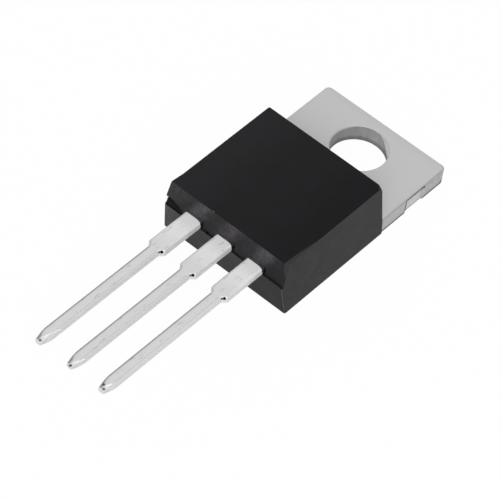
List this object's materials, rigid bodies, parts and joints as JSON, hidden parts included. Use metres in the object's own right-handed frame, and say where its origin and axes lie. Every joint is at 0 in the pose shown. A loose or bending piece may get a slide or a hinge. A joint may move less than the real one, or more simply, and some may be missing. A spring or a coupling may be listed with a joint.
{
  "type": "igbt transistor",
  "caption": "Power transistor: a moulded plastic package on a copper plate whose drilled tab bolts to a heatsink, with flat pointed leads for soldering.",
  "frame": {"origin": "on the mounting hole's axis, in the plane of the metal mounting face", "axes": "+Z from the mounting face to the package's upper face, +Y towards the end of the tab with the leads towards -Y, +X across to the emitter lead's side"},
  "size_m": [0.01, 0.0299, 0.0044],
  "materials": {
    "tab_plating": "matte nickel plating on a copper plate",
    "lead_plating": "satin tin plating on copper",
    "silicon": "polished silicon with a metallised top",
    "solder": "dull soft solder",
    "bond_wire": "drawn wire",
    "moulding": "fine matte black moulding compound"
  },
  "bodies": {
    "root": {"collector_tab": "tab_plating", "gate_lead": "lead_plating", "emitter_lead": "lead_plating", "igbt_chip": "silicon", "chip_solder": "solder", "gate_bond_wire": "bond_wire", "emitter_bond_wire_inner": "bond_wire", "emitter_bond_wire_outer": "bond_wire", "moulded_body": "moulding"}
  },
  "joints": []
}
